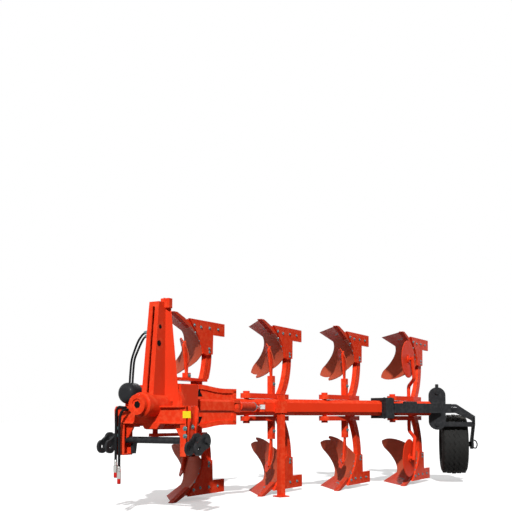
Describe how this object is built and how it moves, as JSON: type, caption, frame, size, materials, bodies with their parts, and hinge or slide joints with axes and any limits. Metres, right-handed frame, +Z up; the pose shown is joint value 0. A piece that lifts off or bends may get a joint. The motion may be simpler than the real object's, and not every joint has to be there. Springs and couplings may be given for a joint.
{
  "type": "mounted reversible moldboard plough",
  "caption": "Fully mounted reversible plough with variable furrow width, paired upper and lower bodies, skimmers, disc coulters and a rear depth wheel.",
  "frame": {"origin": "on the floor, under the middle of the plough without its free hoses", "axes": "+Y to the rear along the travel, +X to the plough's left, +Z up"},
  "size_m": [2.4988, 5.265, 1.81],
  "materials": {
    "red_paint": "gloss orange-red paint",
    "board_paint": "satin brown-red paint",
    "black_paint": "satin black paint",
    "polished_rod": "polished",
    "coupler_steel": "zinc plated",
    "hose_rubber": "matt",
    "tyre_rubber": "matt"
  },
  "bodies": {
    "body_1": {"carrier_1": "red_paint", "frogs_1": "red_paint", "legs_1": "red_paint", "mouldboards_1": "board_paint", "shares_1": "red_paint", "skimmers_1": "red_paint"},
    "body_2": {"carrier_2": "red_paint", "frogs_2": "red_paint", "legs_2": "red_paint", "mouldboards_2": "board_paint", "shares_2": "red_paint", "skimmers_2": "red_paint"},
    "body_3": {"carrier_3": "red_paint", "frogs_3": "red_paint", "legs_3": "red_paint", "mouldboards_3": "board_paint", "shares_3": "red_paint", "skimmers_3": "red_paint"},
    "body_4": {"carrier_4": "red_paint", "frogs_4": "red_paint", "legs_4": "red_paint", "mouldboards_4": "board_paint", "shares_4": "red_paint", "coulter_arms": "red_paint"},
    "coulter_upper": {"coulter_disc_upper": "red_paint"},
    "coulter_lower": {"coulter_disc_lower": "red_paint"},
    "swivel": {"swivel_head": "red_paint", "offset_arm": "red_paint"},
    "beam": {"beam": "red_paint", "front_frame": "red_paint", "stand_sleeve": "red_paint", "rear_clamp": "black_paint", "wheel_head": "black_paint"},
    "stand": {"stand": "red_paint"},
    "ram_barrel": {"ram_barrel": "red_paint"},
    "ram_rod": {"ram_rod": "polished_rod"},
    "wheel_arm": {"wheel_arm": "black_paint"},
    "wheel": {"rim": "black_paint", "tyre": "tyre_rubber"},
    "headstock": {"accumulator": "black_paint", "coupler_long": "coupler_steel", "coupler_short": "coupler_steel", "cross_shaft": "black_paint", "drum_bracket": "red_paint", "headstock": "red_paint", "hose_block": "red_paint", "hose_long": "hose_rubber", "hose_short": "hose_rubber", "hub": "red_paint", "link_bracket_left": "black_paint", "link_bracket_right": "black_paint", "mast": "red_paint", "turn_ram": "red_paint"}
  },
  "joints": [
    {"name": "turnover", "type": "hinge", "parent": "headstock", "child": "swivel", "pos_m": [-0.21268, -2.24247, 0.905], "axis": [0, -1, 0], "range_deg": [0, 180]},
    {"name": "beam_swing", "type": "hinge", "parent": "swivel", "child": "beam", "pos_m": [-0.82413, -1.86098, 0.905], "axis": [0, 0, 1], "range_deg": [-6, 7]},
    {"name": "body_pivot_1", "type": "hinge", "parent": "beam", "child": "body_1", "pos_m": [-0.73768, -1.68747, 0.905], "axis": [0, 0, 1], "range_deg": [-7, 6]},
    {"name": "body_pivot_2", "type": "hinge", "parent": "beam", "child": "body_2", "pos_m": [-0.32268, -0.73247, 0.905], "axis": [0, 0, 1], "range_deg": [-7, 6]},
    {"name": "body_pivot_3", "type": "hinge", "parent": "beam", "child": "body_3", "pos_m": [0.09232, 0.22253, 0.905], "axis": [0, 0, 1], "range_deg": [-7, 6]},
    {"name": "body_pivot_4", "type": "hinge", "parent": "beam", "child": "body_4", "pos_m": [0.50732, 1.17753, 0.905], "axis": [0, 0, 1], "range_deg": [-7, 6]},
    {"name": "ram_tilt", "type": "hinge", "parent": "swivel", "child": "ram_barrel", "pos_m": [-0.10268, -1.29247, 0.905], "axis": [0, 0, 1], "range_deg": [-10.83, 12.63]},
    {"name": "ram_stroke", "type": "slide", "parent": "ram_barrel", "child": "ram_rod", "axis": [-0.1027, 0.9947, 0], "range_m": [-0.08072, 0.09408]},
    {"name": "stand_slide", "type": "slide", "parent": "beam", "child": "stand", "axis": [0, 0, 1], "range_m": [0, 0.4]},
    {"name": "wheel_swing", "type": "hinge", "parent": "beam", "child": "wheel_arm", "pos_m": [0.92732, 1.90753, 0.905], "axis": [0.9336, 0.3584, 0], "range_deg": [0, 105.76]},
    {"name": "wheel_spin", "type": "hinge", "parent": "wheel_arm", "child": "wheel", "pos_m": [0.89962, 2.25037, 0.469], "axis": [0.9336, 0.3584, 0], "continuous": true},
    {"name": "coulter_lower_spin", "type": "hinge", "parent": "body_4", "child": "coulter_lower", "pos_m": [0.62232, 1.41253, 0.327], "axis": [1, 0, 0], "continuous": true},
    {"name": "coulter_upper_spin", "type": "hinge", "parent": "body_4", "child": "coulter_upper", "pos_m": [0.62232, 1.41253, 1.483], "axis": [1, 0, 0], "continuous": true}
  ],
  "couplings": [
    {"joint": "body_pivot_1", "follows": "beam_swing", "ratio": -1},
    {"joint": "body_pivot_2", "follows": "beam_swing", "ratio": -1},
    {"joint": "body_pivot_3", "follows": "beam_swing", "ratio": -1},
    {"joint": "body_pivot_4", "follows": "beam_swing", "ratio": -1},
    {"joint": "ram_tilt", "follows": "beam_swing", "ratio": 1.797},
    {"joint": "ram_stroke", "follows": "beam_swing", "m_per_rad": 0.766}
  ]
}
